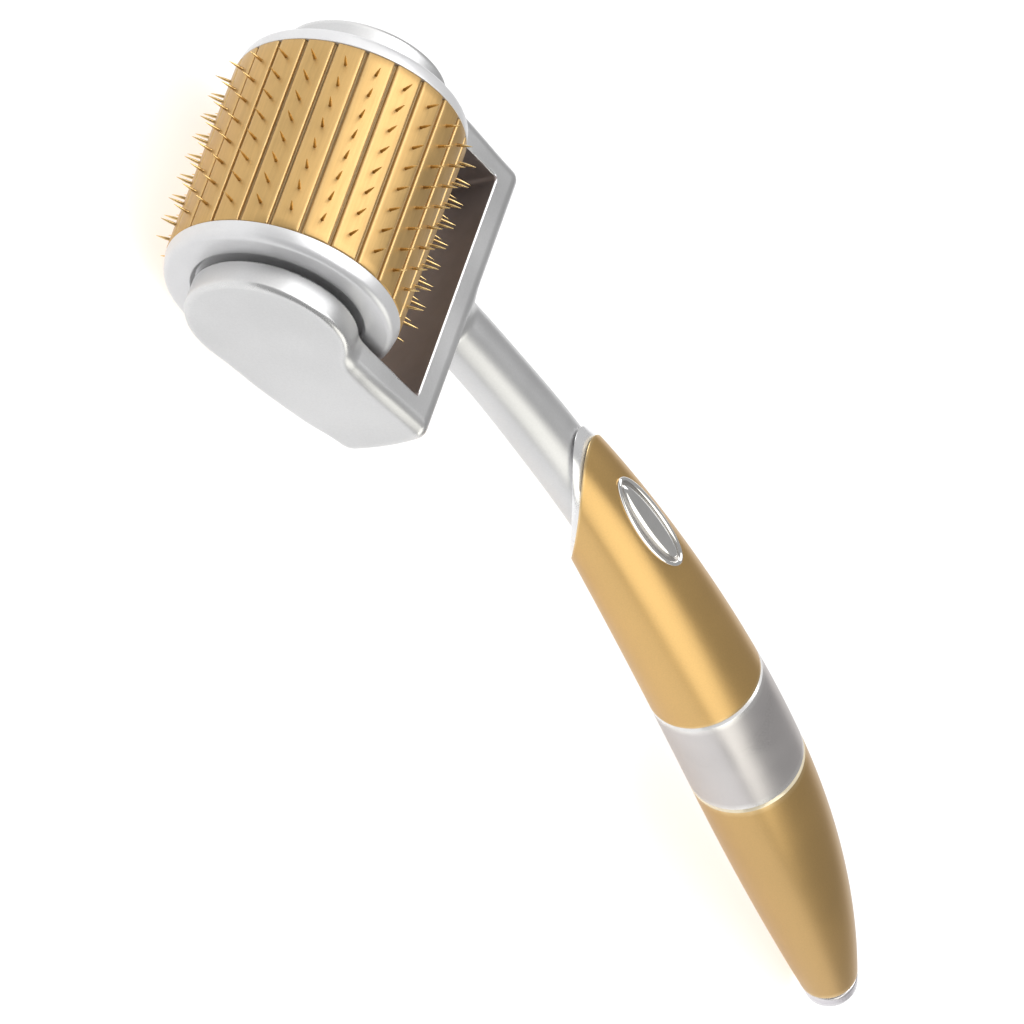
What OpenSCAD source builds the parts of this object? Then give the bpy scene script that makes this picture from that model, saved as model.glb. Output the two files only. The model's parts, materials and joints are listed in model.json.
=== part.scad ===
// Derma roller: a needle drum that turns on an axle in a U-shaped head, on a bowed handle.
// Everything is drawn in the head frame and then laid down by rest_pose().
// Head frame: origin at the drum centre, X along the axle, Y towards the handle, Z out of the
// side with the badge. Row frame: the roller lies on its needles and its tail, Z is up.

/* [Drum] */
// Length of the needled part of the drum
drum_w = 20; // [18:0.5:22]
// Radius of the slats' outer surface
drum_r = 11.1; // [10:0.1:12]
// Number of slats round the drum
slat_count = 24; // [16:1:30]
// Radial thickness of a slat
slat_t = 1.6; // [1.2:0.1:2]
// Width of the groove between two slats
groove_w = 0.34; // [0.1:0.02:0.6]
// Turn of the needle rows from the top of the head frame, in degrees
row_phase = 11.2; // [0:0.1:15]

/* [Needles] */
// Needles in one row
needles_per_row = 8; // [4:1:9]
// Distance between neighbouring needles of a row
needle_pitch = 2.27; // [1.8:0.01:2.4]
// Radius of a needle's shank
needle_r = 0.14; // [0.1:0.01:0.2]
// How far a needle stands out of its slat
needle_out = 1.5; // [0.5:0.1:1.6]

/* [Flanges and axle] */
// Thickness of the silver disc at each end of the drum
flange_t = 1.6; // [1.2:0.1:1.8]
// Radius of the axle
axle_r = 1.5; // [1:0.1:1.8]
// Radial running clearance between the axle and its bushes
run_gap = 0.05; // [0.02:0.01:0.1]

/* [Head] */
// Half of the free width between the two arms
arm_inner = 12.1; // [12:0.1:12.6]
// Thickness of an arm and its ear
arm_t = 2.7; // [2.2:0.1:3]
// Radius of the round ear at the end of an arm
ear_r = 7.85; // [7:0.05:8.5]
// Height of the bridge's rim above the axle
rim_z = 4.95; // [4.5:0.05:5.5]
// How much higher the arms' rim is where it meets the ears
rim_rise = 0.6; // [0:0.1:1]
// Depth of the bridge's lower edge below the axle
sill_z = 5.25; // [4.5:0.05:5.5]
// Distance from the axle to the bridge's inner face
bridge_in = 14.7; // [14.4:0.1:15.5]
// Distance from the axle to the bridge's back
bridge_out = 18.4; // [17.8:0.1:18.6]

/* [Handle] */
// Radius of the round neck
neck_r = 3.0; // [2.6:0.1:3.2]
// Largest radius of the grip
grip_r = 5.95; // [5.4:0.05:6]
// Path length from the bridge to the widest place of the grip
grip_peak = 75; // [70:1:76]
// Path length from the bridge to the front edge of the silver band
band_start = 61.2; // [60:0.1:62]
// Path length of the silver band
band_len = 14.4; // [12:0.1:16]
// Path length from the bridge to the end cap's seam
cap_start = 117; // [115:0.5:118]
// Length of the end cap outside the grip
cap_len = 2.6; // [2.2:0.1:3]

/* [Badge] */
// Length of the oval badge
badge_len = 13.4; // [11:0.1:14]
// Width of the oval badge
badge_w = 4.2; // [4:0.1:5]
// Width of the badge's raised rim
badge_rim = 0.55; // [0.4:0.05:0.7]

/* [Hidden] */
function slat_name(i) = str("slat_", i < 10 ? "0" : "", i);

$fn = 64;
eps = 0.02;                       // hairline between bonded pieces
row_angle = 360 / slat_count;
slat_in = drum_r - slat_t;        // where the slats lie on the core
groove_angle = groove_w / drum_r * 180 / PI;
tip_r = drum_r + needle_out;
shank_out = 0.4;                  // straight part of a needle outside its slat
needle_root = 1.0;                // part of a needle pressed into its slat
point_r = 0.02;                   // radius of a needle's point
key_w = 1.2;                      // key under each slat, which sits in a slot of the core
key_h = 0.8;
key_short = 0.6;                  // how far the key stays back from each end of its slat
rim_wall = 1.5;                   // wall of the core's outer tube below its slots
hub_r = 4.0;
hub_bore = 2.0;                   // the core itself stays clear of the axle
web_t = 1.2;
web_count = 6;
web_lap = 0.5;                    // how far a web runs into the hub and the tube
bush_r = 2.6;
bush_in = 1.6;                    // how far a bush reaches into the hub
collar_t = 0.4;                   // thrust collar of a bush, between flange and ear
collar_r = 3.4;
flange_edge = 0.35;               // bevel of a flange's outer edge
flange_cone = 0.33;               // how much smaller a flange is at its outer face
flange_lip = 2.25;                // width of the flat lip round the dish in that face
dish_run = 0.3;                   // width of the dish's sloping side
dish_t = 0.45;                    // depth of the dish
boss_r = 3.9;                     // boss in the middle of the dish, which the bush's collar lies on
spigot_t = 1.2;                   // ring of a flange that fits inside the core's tube
spigot_wall = 1.0;
spigot_gap = 0.04;
core_tube_in = slat_in - key_h - rim_wall;

arm_outer = arm_inner + arm_t;
axle_seat = 1.5;                  // depth of the blind axle hole in each ear
corner_r = 1.2;                   // vertical corners of the U
web_fillet = 3;                   // hollow curve between an ear and its arm
ear_sink = 0.03;                  // the arm's edges meet the ear a hair inside its circle
heel_run = 1.0;                   // bevel below the back of the bridge
heel_rise = 1.4;
brow_run = 0.5;                   // bevel above the back of the bridge
brow_drop = 0.9;
flare_r = 1.5;                    // cone where the neck meets the bridge
flare_len = 3.2;
flare_sunk = 0.8;
flare_end = neck_r - 0.1;         // the cone ends a hair inside the neck
overrun = 1;                      // how far a cutting shape runs past what it cuts

// Centre line of the neck and handle: two arcs, drooping away from the badge side.
path_y = 17.5;                    // the path starts inside the bridge
path_z = 0.45;
droop_0 = 5.2;                    // droop where the neck leaves the bridge, in degrees
bend_neck = 190;                  // radius of the neck's arc
bend_grip = 357;                  // radius of the grip's arc
neck_end = 34;                    // path length of the neck's arc
droop_1 = droop_0 + neck_end / bend_neck * 180 / PI;
mid_y = path_y + bend_neck * (sin(droop_1) - sin(droop_0));
mid_z = path_z - bend_neck * (cos(droop_0) - cos(droop_1));
function droop(s) = s < neck_end ? droop_0 + s / bend_neck * 180 / PI
                                 : droop_1 + (s - neck_end) / bend_grip * 180 / PI;
function centre_y(s) = s < neck_end ? path_y + bend_neck * (sin(droop(s)) - sin(droop_0))
                                    : mid_y + bend_grip * (sin(droop(s)) - sin(droop_1));
function centre_z(s) = s < neck_end ? path_z - bend_neck * (cos(droop_0) - cos(droop(s)))
                                    : mid_z - bend_grip * (cos(droop_1) - cos(droop(s)));
// Grip radius: a parabola to each side of the widest place.
front_taper = 0.00075;
rear_taper = 0.00169128;
function grip_at(s) = grip_r - (s < grip_peak ? front_taper : rear_taper) * pow(s - grip_peak, 2);

core_r = 3.1;                     // rod inside the sleeves
sleeve_bore = core_r + 0.07;
neck_lap = 5;                     // the neck's arc runs on inside the sleeve, past the slanted cut
core_gap = 0.08;                  // between the neck's end and the rod
core_start = neck_end + neck_lap + core_gap;
tang_r = 2.0;
tang_end = 50;
core_end = 106;
peg_r = 1.6;                      // peg of the end cap
peg_len = 7;
peg_lead = 0.3;                   // bevel of the peg's end
peg_bore = peg_r + 0.1;           // its hole, with room for the bow of the grip
cut_s = 29.8;                     // slanted front edge of the upper sleeve, at the centre line
cut_slant = 1.85;                 // how far the slanted edge runs along the grip per unit of height
collar_len = 2.4;                 // length of the collar ring on the badge side
collar_heel = 0.15;               // its length on the other side
collar_step = 0.25;               // how far the collar ring lies below the sleeve
band_end = band_start + band_len;
sides = 40;                       // sides of the swept tubes
cap_round = 1.2;
cap_turn = cap_start + cap_len - cap_round;

badge_s = 34;                     // path length at the badge's middle
badge_reach = 6;
badge_pitch = atan((grip_at(badge_s + badge_reach) - grip_at(badge_s - badge_reach)) / (2 * badge_reach));
badge_sunk = 0.62;                // depth of the badge's pocket below the sleeve's surface
badge_floor = grip_at(badge_s) - badge_sunk;
bezel_proud = 0.25;
plate_proud = 0.08;
badge_points = 48;

// Rest pose: the line that touches the needle tips and the tail becomes level.
cap_r = grip_at(cap_turn) - cap_round;
tail_y = centre_y(cap_turn) - cap_r * sin(droop(cap_turn));
tail_z = centre_z(cap_turn) - cap_r * cos(droop(cap_turn));
tilt = -atan2(tail_z, tail_y) - asin((tip_r - cap_round) / norm([tail_y, tail_z]));
row_tips = [for (i = [0:slat_count - 1]) tip_r * cos(row_phase + i * row_angle - tilt)];
row_fronts = [for (i = [0:slat_count - 1]) tip_r * sin(row_phase + i * row_angle - tilt)];
floor_z = min(row_tips);
back_y = max([for (a = [0:2:90]) tail_reach(a)]);
function tail_reach(a) =
    let (r = cap_r + cap_round * cos(a), s = cap_turn + cap_round * sin(a))
    (centre_y(s) + r * sin(droop(s))) * cos(tilt) - (centre_z(s) + r * cos(droop(s))) * sin(tilt);
mid_row_y = (min(row_fronts) + back_y) / 2;

module rest_pose() {
    translate([0, -mid_row_y, -floor_z]) rotate([tilt, 0, 0]) children();
}

// A cylinder along X from x0 to x1.
module bar(r, x0, x1) {
    translate([x0, 0, 0]) rotate([0, 90, 0]) cylinder(r = r, h = x1 - x0);
}

// Children drawn round X, turned by an angle from +Z towards +Y.
module around(angle) {
    rotate([-angle, 0, 0]) children();
}

// Children at the far (-X) end are the near ones mirrored.
module at_end(side) {
    if (side < 0) mirror([1, 0, 0]) children();
    else children();
}

// Children placed on the centre line: local Z runs along the path, local -Y out of the badge side.
module on_path(s) {
    translate([0, centre_y(s), centre_z(s)]) rotate([-90 - droop(s), 0, 0]) children();
}

// A round rod of constant radius along part of one of the two arcs.
module arc_rod(r, s0, s1, bend, arc_y, arc_z) {
    translate([0, arc_y, arc_z]) rotate([0, -90, 0]) rotate([0, 0, droop(s0)])
        rotate_extrude(angle = (s1 - s0) / bend * 180 / PI) translate([bend, 0]) circle(r = r);
}
module neck_rod(r, s0, s1) {
    arc_rod(r, s0, s1, bend_neck, path_y - bend_neck * sin(droop_0), path_z - bend_neck * cos(droop_0));
}
module grip_rod(r, s0, s1) {
    arc_rod(r, s0, s1, bend_grip, mid_y - bend_grip * sin(droop_1), mid_z - bend_grip * cos(droop_1));
}

// A point off the centre line, and one ring of a slanted tube at path length s.
function off_path(s, r, a) =
    [r * sin(a), centre_y(s) + r * cos(a) * sin(droop(s)), centre_z(s) + r * cos(a) * cos(droop(s))];
function bore_ring(s, slant, r) = [for (k = [0:sides - 1])
    let (a = k * 360 / sides) off_path(s - r * cos(a) * slant, r, a)];
function grip_ring(s, slant, inset) = [for (k = [0:sides - 1])
    let (a = k * 360 / sides, u = s - (grip_at(s) - inset) * cos(a) * slant)
        off_path(u, grip_at(u) - inset, a)];
function skin(rings) = [for (j = [0:rings - 2], k = [0:sides - 1])
    let (a = j * sides + k, b = j * sides + (k + 1) % sides) [b, a, a + sides, b + sides]];
function reversed(face) = [for (i = [len(face) - 1:-1:0]) face[i]];

// A tube whose outside follows the grip; each station is [s, slant, inset of the outside, bore radius].
module tube(stations) {
    n = len(stations);
    m = n * sides;
    last = (n - 1) * sides;
    outer = [for (t = stations) each grip_ring(t[0], t[1], t[2])];
    inner = [for (t = stations) each bore_ring(t[0], t[1], t[3])];
    front = [for (k = [0:sides - 1]) [k, (k + 1) % sides, m + (k + 1) % sides, m + k]];
    back = [for (f = front) [for (v = reversed(f)) v + last]];
    inside = [for (f = skin(n)) [for (v = reversed(f)) v + m]];
    polyhedron(points = concat(outer, inner), faces = concat(skin(n), inside, front, back), convexity = 6);
}

// --- Drum ---

module slat(i) {
    lift = row_phase + (i - 1) * row_angle;
    span = row_angle - groove_angle;
    color("burlywood") rest_pose() around(lift) {
        rotate([0, -90, 0]) rotate([0, 0, -span / 2]) translate([0, 0, -drum_w / 2])
            rotate_extrude(angle = span) translate([slat_in, 0]) square([slat_t, drum_w]);
        translate([key_short - drum_w / 2, -key_w / 2, slat_in - key_h])
            cube([drum_w - 2 * key_short, key_w, key_h + slat_t / 2]);
    }
}

module needle() {
    rotate_extrude() polygon([[0, -needle_root], [needle_r, -needle_root], [needle_r, shank_out],
                              [point_r, needle_out], [0, needle_out]]);
}

module needles() {
    first = -(needles_per_row - 1) / 2 * needle_pitch;
    color("khaki") rest_pose()
        for (i = [0:slat_count - 1]) around(row_phase + i * row_angle)
            for (j = [0:needles_per_row - 1]) translate([first + j * needle_pitch, 0, drum_r]) needle();
}

module drum_core() {
    color("ivory") rest_pose() difference() {
        union() {
            difference() {
                bar(slat_in, -drum_w / 2, drum_w / 2);
                bar(core_tube_in, -drum_w, drum_w);
            }
            bar(hub_r, -drum_w / 2, drum_w / 2);
            for (i = [0:web_count - 1]) around(i * 360 / web_count)
                translate([-drum_w / 2 + spigot_t, -web_t / 2, hub_r - web_lap])
                    cube([drum_w - 2 * spigot_t, web_t, core_tube_in - hub_r + 2 * web_lap]);
        }
        bar(hub_bore, -drum_w, drum_w);
        for (side = [-1, 1]) at_end(side) bar(bush_r, drum_w / 2 - bush_in, drum_w);
        for (i = [0:slat_count - 1]) around(row_phase + i * row_angle)
            translate([-drum_w, -key_w / 2 - eps, slat_in - key_h - eps])
                cube([2 * drum_w, key_w + 2 * eps, key_h + overrun]);
    }
}

module drum_flange(side) {
    x0 = drum_w / 2;
    x1 = x0 + flange_t;
    lip_r = drum_r - flange_cone - flange_edge;
    dish_r = lip_r - flange_lip;
    spigot_r = core_tube_in - spigot_gap;
    color("gainsboro") rest_pose() at_end(side) difference() {
        union() {
            rotate([0, 90, 0]) rotate_extrude()
                polygon([[0, x0], [drum_r, x0], [lip_r + flange_edge, x1 - flange_edge], [lip_r, x1],
                         [dish_r, x1], [dish_r - dish_run, x1 - dish_t], [boss_r, x1 - dish_t],
                         [boss_r, x1], [0, x1]]);
            difference() {
                bar(spigot_r, x0 - spigot_t + eps, x0);
                bar(spigot_r - spigot_wall, 0, x0);
            }
        }
        bar(bush_r, 0, x0 + 2 * flange_t);
    }
}

module bush(side) {
    x0 = drum_w / 2;
    color("white") rest_pose() at_end(side) difference() {
        union() {
            bar(bush_r, x0 - bush_in, x0 + flange_t);
            bar(collar_r, x0 + flange_t, x0 + flange_t + collar_t);
        }
        bar(axle_r + run_gap, 0, 2 * x0);
    }
}

module axle() {
    half = arm_inner + axle_seat;
    nose = 0.3;
    color("silver") rest_pose() rotate([0, 90, 0]) rotate_extrude()
        polygon([[0, -half], [axle_r - nose, -half], [axle_r, nose - half], [axle_r, half - nose],
                 [axle_r - nose, half], [0, half]]);
}

// --- Head ---

// Side outline of the arms and the bridge, in Y and Z, without the round ear itself.
module arm_outline() {
    near_r = ear_r - ear_sink;
    sill_y = bridge_out - heel_run;
    sill_turn = atan2(-sill_z, sill_y) - acos(near_r / norm([sill_y, sill_z]));
    hollow_z = rim_z + rim_rise + web_fillet;
    hollow_y = sqrt(pow(near_r + web_fillet, 2) - pow(hollow_z, 2));
    hollow_turn = atan2(hollow_z, hollow_y) - 90;
    steps = 6;
    polygon(concat(
        [[0, 0], [near_r * cos(sill_turn), near_r * sin(sill_turn)], [sill_y, -sill_z],
         [bridge_out, heel_rise - sill_z], [bridge_out, rim_z - brow_drop], [bridge_out - brow_run, rim_z]],
        [for (k = [0:steps]) let (a = -90 + hollow_turn * k / steps)
            [hollow_y + web_fillet * cos(a), hollow_z + web_fillet * sin(a)]]));
}

// Plan outline of the U, in X and Y, with its two back corners rounded.
module u_outline() {
    steps = 5;
    front = -ear_r - overrun;
    side_x = arm_outer - corner_r;
    side_y = bridge_out - corner_r;
    corner = [for (k = [0:steps]) let (a = 90 * k / steps)
        [side_x + corner_r * cos(a), side_y + corner_r * sin(a)]];
    left = [for (k = [steps:-1:0]) [-corner[k][0], corner[k][1]]];
    polygon(concat([[arm_inner, bridge_in], [arm_inner, front], [arm_outer, front]], corner, left,
                   [[-arm_outer, front], [-arm_inner, front], [-arm_inner, bridge_in]]));
}

module head_frame() {
    color("lightgray") rest_pose() difference() {
        union() {
            intersection() {
                union() {
                    translate([-arm_outer, 0, 0]) rotate([90, 0, 90])
                        linear_extrude(2 * arm_outer) arm_outline();
                    bar(ear_r, -arm_outer, arm_outer);
                }
                translate([0, 0, -2 * ear_r]) linear_extrude(4 * ear_r) u_outline();
            }
            on_path(-flare_sunk) cylinder(r1 = neck_r + flare_r, r2 = flare_end, h = flare_len);
            neck_rod(neck_r, 0, neck_end + neck_lap);
            grip_rod(tang_r, neck_end, tang_end);
        }
        for (side = [-1, 1]) at_end(side) bar(axle_r, 0, arm_inner + axle_seat);
    }
}

// --- Handle ---

// The ring tapers from the badge side to its heel, so its front edge slants more than its back.
module collar_ring() {
    steps = 2;
    mean_len = (collar_len + collar_heel) / 2;
    more_slant = (collar_len - collar_heel) / 2 / grip_at(cut_s);
    color("whitesmoke") rest_pose() tube([for (j = [0:steps])
        let (t = 1 - j / steps)
        [cut_s - mean_len * t - eps, cut_slant + more_slant * t, collar_step, sleeve_bore]]);
}

module handle_core() {
    color("dimgray") rest_pose() difference() {
        grip_rod(core_r, core_start, core_end);
        grip_rod(tang_r + eps, neck_end, tang_end + eps);
    }
}

module upper_sleeve() {
    steps = 9;
    color("goldenrod") rest_pose() difference() {
        tube([for (j = [0:steps])
            let (t = j / steps, s = cut_s + (band_start - eps - cut_s) * t)
            [s, cut_slant * (1 - t), 0, sleeve_bore]]);
        badge_prism(0, badge_floor, 2 * grip_r);
    }
}

module grip_band() {
    steps = 4;
    color("darkgray") rest_pose() tube([for (j = [0:steps])
        [band_start + band_len * j / steps, 0, 0, sleeve_bore]]);
}

module lower_sleeve() {
    steps = 10;
    tail_steps = 3;
    s0 = band_end + eps;
    run = core_end + eps - s0;
    tail = cap_start - eps - core_end;
    color("goldenrod") rest_pose() tube(concat(
        [for (j = [0:steps]) [s0 + run * j / steps, 0, 0, sleeve_bore]],
        [for (j = [0:tail_steps]) [core_end + 2 * eps + (tail - eps) * j / tail_steps, 0, 0, peg_bore]]));
}

module end_cap() {
    turns = 6;
    r0 = grip_at(cap_start);
    color("silver") rest_pose() on_path(cap_start) rotate_extrude() polygon(concat(
        [[0, -peg_len], [peg_r - peg_lead, -peg_len], [peg_r, peg_lead - peg_len], [peg_r, 0], [r0, 0]],
        [for (k = [0:turns]) let (a = k * 90 / turns)
            [cap_r + cap_round * cos(a), cap_len - cap_round + cap_round * sin(a)]],
        [[0, cap_len]]));
}

// --- Badge ---

// An oval prism that stands on the sleeve's badge side, with its outline drawn in by inset.
module badge_prism(inset, low, high) {
    on_path(badge_s) rotate([badge_pitch, 0, 0]) rotate([90, 0, 0]) translate([0, 0, low])
        linear_extrude(high - low) polygon([for (k = [0:badge_points - 1]) let (a = k * 360 / badge_points)
            [(badge_w / 2 - inset) * cos(a), (badge_len / 2 - inset) * sin(a)]]);
}

// A crowned face for the badge: a cylinder along the sleeve, at a height above its surface.
module badge_crown(proud) {
    on_path(badge_s) rotate([badge_pitch, 0, 0]) translate([0, 0, -badge_len])
        cylinder(r = grip_at(badge_s) + proud, h = 2 * badge_len);
}

module badge_bezel() {
    color("silver") rest_pose() intersection() {
        difference() {
            badge_prism(eps, badge_floor + eps, grip_r * 2);
            badge_prism(badge_rim, 0, grip_r * 3);
        }
        badge_crown(bezel_proud);
    }
}

module badge_plate() {
    color("gainsboro") rest_pose() intersection() {
        badge_prism(badge_rim + eps, badge_floor + eps, grip_r * 2);
        badge_crown(plate_proud);
    }
}

head_frame();
axle();
drum_core();
drum_flange(1);  // drum_flange_near
drum_flange(-1);  // drum_flange_far
bush(1);  // bush_near
bush(-1);  // bush_far
needles();
collar_ring();
handle_core();
upper_sleeve();
badge_bezel();
badge_plate();
grip_band();
lower_sleeve();
end_cap();
for (i = [1:slat_count]) {
    slat(i);
}
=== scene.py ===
"""Derma roller: the visible shapes and finishes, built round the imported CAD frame.

Shapes are drawn in the head frame, in millimetres: origin at the drum centre, X along the
axle, Y towards the handle, Z out of the badge side. to_row() lays them down in the row frame.
"""

import json
import math

import bpy
import numpy as np
from mathutils import Matrix, Vector


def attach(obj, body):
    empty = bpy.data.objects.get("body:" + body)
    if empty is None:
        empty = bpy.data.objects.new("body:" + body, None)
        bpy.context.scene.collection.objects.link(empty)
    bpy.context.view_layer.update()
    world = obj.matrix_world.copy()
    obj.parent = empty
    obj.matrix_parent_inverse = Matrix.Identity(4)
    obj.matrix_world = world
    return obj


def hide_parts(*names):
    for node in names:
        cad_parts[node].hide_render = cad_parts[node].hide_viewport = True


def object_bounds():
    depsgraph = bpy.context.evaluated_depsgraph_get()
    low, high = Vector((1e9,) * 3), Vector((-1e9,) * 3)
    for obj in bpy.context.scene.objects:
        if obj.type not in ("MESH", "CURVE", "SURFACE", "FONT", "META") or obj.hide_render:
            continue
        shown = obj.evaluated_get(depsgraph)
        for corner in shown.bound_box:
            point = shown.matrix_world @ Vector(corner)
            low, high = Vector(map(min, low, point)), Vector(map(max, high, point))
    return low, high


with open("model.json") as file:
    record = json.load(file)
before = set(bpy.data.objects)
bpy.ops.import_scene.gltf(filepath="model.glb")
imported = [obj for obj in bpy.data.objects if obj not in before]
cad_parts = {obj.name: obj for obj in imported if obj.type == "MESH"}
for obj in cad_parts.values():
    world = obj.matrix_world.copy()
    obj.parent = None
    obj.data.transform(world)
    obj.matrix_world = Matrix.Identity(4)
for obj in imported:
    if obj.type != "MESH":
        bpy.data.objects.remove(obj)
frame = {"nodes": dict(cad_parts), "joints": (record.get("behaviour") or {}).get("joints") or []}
CAD_LO, CAD_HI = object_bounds()

MM = 0.001
TAU = 2 * math.pi
rng = np.random.default_rng(24)

# --- Dimensions in millimetres. Those marked "only here" are not the CAD source's ---

DRUM_CENTRE = np.array(frame["joints"][0]["pos_m"])
TILT = math.radians(11.9889)  # of the head frame, when the roller rests on a needle row and its cap

DRUM_HALF = 10.0
DRUM_R = 11.1
SLATS = 24
SLAT_T = 1.6
GROOVE_W = 0.34
GROOVE_DEPTH, BASE_GAP = 0.4, 0.04  # only here: the CAD slats have plain gaps
ROW_PHASE = 11.2
NEEDLES = 8
PITCH = 2.27
NEEDLE_R = 0.14
NEEDLE_OUT = 1.5
FLANGE_T, FLANGE_CONE = 1.6, 0.33
BOSS_R, DISH_RUN, FLANGE_DISH = 3.9, 0.3, 0.45
FLANGE_BORE, DISH_R = 2.7, 8.2  # only here

ARM_IN, ARM_OUT = 12.1, 14.8
ARM_SWELL = 0.41  # only here: the arms swell outwards behind the ears
EAR_R = 7.85
RIM_Z, RIM_RISE, SILL_Z = 4.95, 0.6, 5.25
BRIDGE_IN, BRIDGE_OUT = 14.7, 18.4
CORNER_R = 1.2

PATH_Y, PATH_Z = 17.5, 0.45
DROOP_0 = math.radians(5.2)
BEND_NECK, BEND_GRIP = 190.0, 357.0  # radii of the two arcs of the centre line
NECK_END, NECK_LAP = 34.0, 5.0
NECK_R, NECK_SPREAD = 2.95, 0.15  # only here: radius at the bridge, and how much it grows to the grip
NECK_ROOT = 1.5  # only here: how far the neck reaches into the bridge
DROOP_1 = DROOP_0 + NECK_END / BEND_NECK
MID_Y = PATH_Y + BEND_NECK * (math.sin(DROOP_1) - math.sin(DROOP_0))
MID_Z = PATH_Z - BEND_NECK * (math.cos(DROOP_0) - math.cos(DROOP_1))

GRIP_R, GRIP_PEAK = 5.95, 75.0
FRONT_TAPER, REAR_TAPER = 0.00075, 0.00169128  # the rear one keeps the radius that TILT depends on
CUT_S, CUT_SLANT = 29.8, 1.85
COLLAR_LEN, COLLAR_HEEL = 2.4, 0.15  # its length at the badge side and below
COLLAR_STEP = 0.25  # how far it lies under the gold
BAND_S0, BAND_S1 = 61.2, 75.6
SLEEVE_WALL, SKIN_DEPTH = 1.05, 1.5  # only here: how deep the visible tubes reach
CAP_S, CAP_LEN, CAP_ROUND = 117.0, 2.6, 1.2
BADGE_S, BADGE_LEN, BADGE_W, BADGE_RIM = 34.0, 13.4, 4.2, 0.55


def to_row(points):
    """Head-frame millimetres to row-frame metres."""
    x, y, z = np.moveaxis(np.asarray(points, float), -1, 0)
    c, s = math.cos(TILT), math.sin(TILT)
    return np.stack([x, y * c - z * s, y * s + z * c], -1) * MM + DRUM_CENTRE


def turn_to_row(vectors):
    x, y, z = np.moveaxis(np.asarray(vectors, float), -1, 0)
    c, s = math.cos(TILT), math.sin(TILT)
    return np.stack([x, y * c - z * s, y * s + z * c], -1)


def droop(s):
    s = np.asarray(s, float)
    return np.where(s < NECK_END, DROOP_0 + s / BEND_NECK, DROOP_1 + (s - NECK_END) / BEND_GRIP)


def centre(s):
    """Y and Z of the handle's centre line at path length s."""
    s = np.asarray(s, float)
    d = droop(s)
    near = s < NECK_END
    y = np.where(near, PATH_Y + BEND_NECK * (np.sin(d) - math.sin(DROOP_0)),
                 MID_Y + BEND_GRIP * (np.sin(d) - math.sin(DROOP_1)))
    z = np.where(near, PATH_Z - BEND_NECK * (math.cos(DROOP_0) - np.cos(d)),
                 MID_Z - BEND_GRIP * (math.cos(DROOP_1) - np.cos(d)))
    return y, z


def grip_at(s):
    s = np.asarray(s, float)
    return GRIP_R - np.where(s < GRIP_PEAK, FRONT_TAPER, REAR_TAPER) * (s - GRIP_PEAK) ** 2


def off_path(s, r, a):
    """A point at radius r from the centre line; a = 0 is the badge side and a = 90 degrees is +X."""
    s, r, a = np.broadcast_arrays(s, r, a)
    y, z = centre(s)
    d = droop(s)
    return np.stack([r * np.sin(a), y + r * np.cos(a) * np.sin(d), z + r * np.cos(a) * np.cos(d)], -1)


# --- Outlines and meshes ---


def rounded(corners, steps=5):
    """A closed outline through (u, v, radius) corners: its points, and 1 where a point is on a rounding."""
    points, edge = [], []
    n = len(corners)
    for i in range(n):
        p = np.array(corners[i][:2], float)
        r = corners[i][2]
        if r <= 0:
            points.append(p)
            edge.append(0.0)
            continue
        a = np.array(corners[i - 1][:2], float) - p
        b = np.array(corners[(i + 1) % n][:2], float) - p
        a /= np.linalg.norm(a)
        b /= np.linalg.norm(b)
        half = math.acos(max(-1.0, min(1.0, float(a @ b)))) / 2
        middle = p + (a + b) / np.linalg.norm(a + b) * r / math.sin(half)
        start, end = p + a * r / math.tan(half) - middle, p + b * r / math.tan(half) - middle
        sweep = math.pi - 2 * half
        for k in range(steps + 1):
            t = k / steps
            v = (start * math.sin((1 - t) * sweep) + end * math.sin(t * sweep)) / math.sin(sweep)
            points.append(middle + v)
            edge.append(1.0)
    return np.array(points), np.array(edge)


def divided(points, edge, longest):
    """The same closed outline with its long sides split."""
    out, marks = [], []
    n = len(points)
    for i in range(n):
        p, q = points[i], points[(i + 1) % n]
        k = max(1, int(math.ceil(np.linalg.norm(q - p) / longest)))
        for j in range(k):
            out.append(p + (q - p) * j / k)
            marks.append(edge[i] if j == 0 else 0.0)
    return np.array(out), np.array(marks)


def torus_faces(rows, sides, wrap=True):
    """Quads over rings of points; with wrap the last ring joins the first."""
    j, k = np.meshgrid(np.arange(rows if wrap else rows - 1), np.arange(sides), indexing="ij")
    j2, k2 = (j + 1) % rows, (k + 1) % sides
    return np.stack([j * sides + k, j * sides + k2, j2 * sides + k2, j2 * sides + k], -1).reshape(-1, 4)


def outward(points, faces):
    """The faces turned so that a closed mesh encloses a positive volume."""
    p = points - points.mean(0)
    a, b, c = p[faces[:, 0]], p[faces[:, 1]], p[faces[:, 2]]
    volume = np.einsum("ij,ij->i", a, np.cross(b, c)).sum()
    if faces.shape[1] == 4:
        d = p[faces[:, 3]]
        volume += np.einsum("ij,ij->i", a, np.cross(c, d)).sum()
    return faces if volume > 0 else faces[:, ::-1]


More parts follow.
